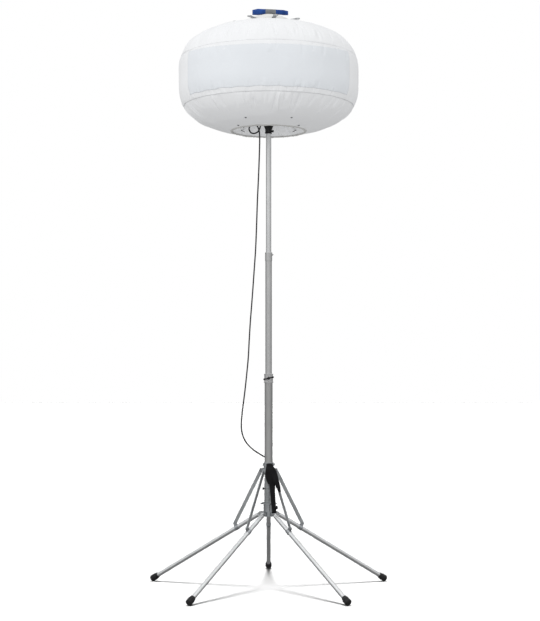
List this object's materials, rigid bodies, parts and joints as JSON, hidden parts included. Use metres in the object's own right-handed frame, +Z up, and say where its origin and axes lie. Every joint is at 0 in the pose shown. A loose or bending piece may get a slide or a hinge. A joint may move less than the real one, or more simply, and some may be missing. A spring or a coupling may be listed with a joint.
{
  "type": "balloon work light",
  "caption": "Inflated fabric balloon light on a telescopic mast with clamp screws and a folding five-legged stand, with head unit, supply cable and lift handle.",
  "frame": {"origin": "on the mast axis at floor level, at the middle of the five feet", "axes": "+Z up along the mast; +Y towards the leg opposite the side the cable and clamp screw are seen from"},
  "size_m": [1.7436, 1.6604, 4.137],
  "materials": {
    "galvanised": "zinc plated, dull spangle",
    "fastener_steel": "zinc plated bolts",
    "mast_aluminium": "satin anodised, drawn lengthwise",
    "leg_aluminium": "satin, bright highlights",
    "foot_rubber": "moulded, slightly worn",
    "black_plastic": "moulded black nylon",
    "grey_nylon": "turned nylon",
    "motor_steel": "satin",
    "ceramic_white": "glazed",
    "lamp_glass": "clear",
    "balloon_cloth": "coated ripstop, white, diffuse",
    "cap_white": "white moulding",
    "blue_webbing": "padded webbing",
    "guy_hardware": "small steel rings on tabs",
    "black_webbing": "woven webbing",
    "cable_rubber": "matt rubber sheath"
  },
  "bodies": {
    "root": {"hub": "galvanised", "leg_pins": "fastener_steel", "base_sleeve": "galvanised", "lower_tube": "mast_aluminium", "mast_clamp": "mast_aluminium", "cable_lower": "cable_rubber"},
    "collar": {"strut_collar": "galvanised", "collar_screws": "fastener_steel", "strap": "black_webbing", "cable_plug": "cable_rubber"},
    "middle": {"middle_tube": "mast_aluminium", "middle_bush": "grey_nylon", "middle_ferrule": "mast_aluminium", "cable_middle": "cable_rubber"},
    "upper": {"upper_tube": "mast_aluminium", "upper_bush": "grey_nylon", "mast_head": "black_plastic", "head_housing": "black_plastic", "blower_motor": "motor_steel", "lamp_holder": "ceramic_white", "lamp": "lamp_glass", "lamp_cage": "motor_steel", "balloon_crown": "balloon_cloth", "balloon_side": "balloon_cloth", "balloon_belly": "balloon_cloth", "balloon_skirt": "balloon_cloth", "balloon_hem": "balloon_cloth", "top_cap": "cap_white", "lift_handle": "blue_webbing", "guy_rings": "guy_hardware", "cable_gland": "cable_rubber", "cable_upper": "cable_rubber"},
    "impeller": {"impeller": "black_plastic"},
    "hub_knob": {"hub_knob": "black_plastic"},
    "sleeve_knob": {"sleeve_knob": "black_plastic"},
    "mast_head_knob": {"mast_head_knob": "black_plastic"},
    "clamp_screw": {"clamp_screw": "black_plastic"},
    "snap_button": {"snap_button": "black_plastic"},
    "leg_1": {"leg_tube_1": "leg_aluminium", "foot_1": "foot_rubber", "leg_bracket_1": "galvanised"},
    "strut_1": {"strut_1": "galvanised"},
    "leg_2": {"leg_tube_2": "leg_aluminium", "foot_2": "foot_rubber", "leg_bracket_2": "galvanised"},
    "strut_2": {"strut_2": "galvanised"},
    "leg_3": {"leg_tube_3": "leg_aluminium", "foot_3": "foot_rubber", "leg_bracket_3": "galvanised"},
    "strut_3": {"strut_3": "galvanised"},
    "leg_4": {"leg_tube_4": "leg_aluminium", "foot_4": "foot_rubber", "leg_bracket_4": "galvanised"},
    "strut_4": {"strut_4": "galvanised"},
    "leg_5": {"leg_tube_5": "leg_aluminium", "foot_5": "foot_rubber", "leg_bracket_5": "galvanised"},
    "strut_5": {"strut_5": "galvanised"}
  },
  "joints": [
    {"name": "collar_slide", "type": "slide", "parent": "root", "child": "collar", "axis": [0, 0, 1], "range_m": [0, 0.3395], "deforming": ["cable_lower", "strap"]},
    {"name": "middle_slide", "type": "slide", "parent": "root", "child": "middle", "axis": [0, 0, 1], "range_m": [-0.79, 0], "deforming": ["cable_middle"]},
    {"name": "upper_slide", "type": "slide", "parent": "middle", "child": "upper", "axis": [0, 0, 1], "range_m": [-0.79, 0], "deforming": ["cable_upper"]},
    {"name": "leg_1_fold", "type": "hinge", "parent": "root", "child": "leg_1", "pos_m": [0, 0.062, 0.529], "axis": [1, 0, 0], "range_deg": [0, 116.3]},
    {"name": "strut_1_pivot", "type": "hinge", "parent": "leg_1", "child": "strut_1", "pos_m": [0, 0.25635, 0.44828], "axis": [1, 0, 0], "range_deg": [-144.6, 0]},
    {"name": "leg_2_fold", "type": "hinge", "parent": "root", "child": "leg_2", "pos_m": [0.05897, 0.01916, 0.529], "axis": [0.309, -0.9511, 0], "range_deg": [0, 116.4]},
    {"name": "strut_2_pivot", "type": "hinge", "parent": "leg_2", "child": "strut_2", "pos_m": [0.2438, 0.07922, 0.44828], "axis": [0.309, -0.9511, 0], "range_deg": [-144.6, 0]},
    {"name": "leg_3_fold", "type": "hinge", "parent": "root", "child": "leg_3", "pos_m": [0.03644, -0.05016, 0.529], "axis": [-0.809, -0.5878, 0], "range_deg": [0, 116.4]},
    {"name": "strut_3_pivot", "type": "hinge", "parent": "leg_3", "child": "strut_3", "pos_m": [0.15068, -0.20739, 0.44828], "axis": [-0.809, -0.5878, 0], "range_deg": [-144.6, 0]},
    {"name": "leg_4_fold", "type": "hinge", "parent": "root", "child": "leg_4", "pos_m": [-0.03644, -0.05016, 0.529], "axis": [-0.809, 0.5878, 0], "range_deg": [0, 116.4]},
    {"name": "strut_4_pivot", "type": "hinge", "parent": "leg_4", "child": "strut_4", "pos_m": [-0.15068, -0.20739, 0.44828], "axis": [-0.809, 0.5878, 0], "range_deg": [-144.6, 0]},
    {"name": "leg_5_fold", "type": "hinge", "parent": "root", "child": "leg_5", "pos_m": [-0.05897, 0.01916, 0.529], "axis": [0.309, 0.9511, 0], "range_deg": [0, 116.4]},
    {"name": "strut_5_pivot", "type": "hinge", "parent": "leg_5", "child": "strut_5", "pos_m": [-0.2438, 0.07922, 0.44828], "axis": [0.309, 0.9511, 0], "range_deg": [-144.6, 0]},
    {"name": "impeller_spin", "type": "hinge", "parent": "upper", "child": "impeller", "pos_m": [0, 0, 3.4], "axis": [0, 0, 1], "continuous": true},
    {"name": "hub_knob_turn", "type": "hinge", "parent": "root", "child": "hub_knob", "pos_m": [0, 0, 0.573], "axis": [0.9511, -0.309, 0], "range_deg": [0, 180]},
    {"name": "sleeve_knob_turn", "type": "hinge", "parent": "root", "child": "sleeve_knob", "pos_m": [0, 0, 0.708], "axis": [-0.9511, -0.309, 0], "range_deg": [0, 180]},
    {"name": "mast_head_knob_turn", "type": "hinge", "parent": "upper", "child": "mast_head_knob", "pos_m": [0, 0, 3.262], "axis": [0.9272, -0.3746, 0], "range_deg": [0, 180]},
    {"name": "clamp_screw_turn", "type": "hinge", "parent": "root", "child": "clamp_screw", "pos_m": [0, 0, 1.497], "axis": [0, -1, 0], "range_deg": [0, 180]},
    {"name": "snap_button_press", "type": "slide", "parent": "middle", "child": "snap_button", "axis": [-1, 0, 0], "range_m": [0, 0.002], "stiffness_N_per_m": 400}
  ],
  "couplings": [
    {"joint": "strut_1_pivot", "follows": "leg_1_fold", "ratio": -1.2421},
    {"joint": "leg_2_fold", "follows": "leg_1_fold", "ratio": 1},
    {"joint": "strut_2_pivot", "follows": "leg_1_fold", "ratio": -1.2421},
    {"joint": "leg_3_fold", "follows": "leg_1_fold", "ratio": 1},
    {"joint": "strut_3_pivot", "follows": "leg_1_fold", "ratio": -1.2421},
    {"joint": "leg_4_fold", "follows": "leg_1_fold", "ratio": 1},
    {"joint": "strut_4_pivot", "follows": "leg_1_fold", "ratio": -1.2421},
    {"joint": "leg_5_fold", "follows": "leg_1_fold", "ratio": 1},
    {"joint": "strut_5_pivot", "follows": "leg_1_fold", "ratio": -1.2421},
    {"joint": "collar_slide", "follows": "leg_1_fold", "m_per_rad": 0.16714}
  ]
}
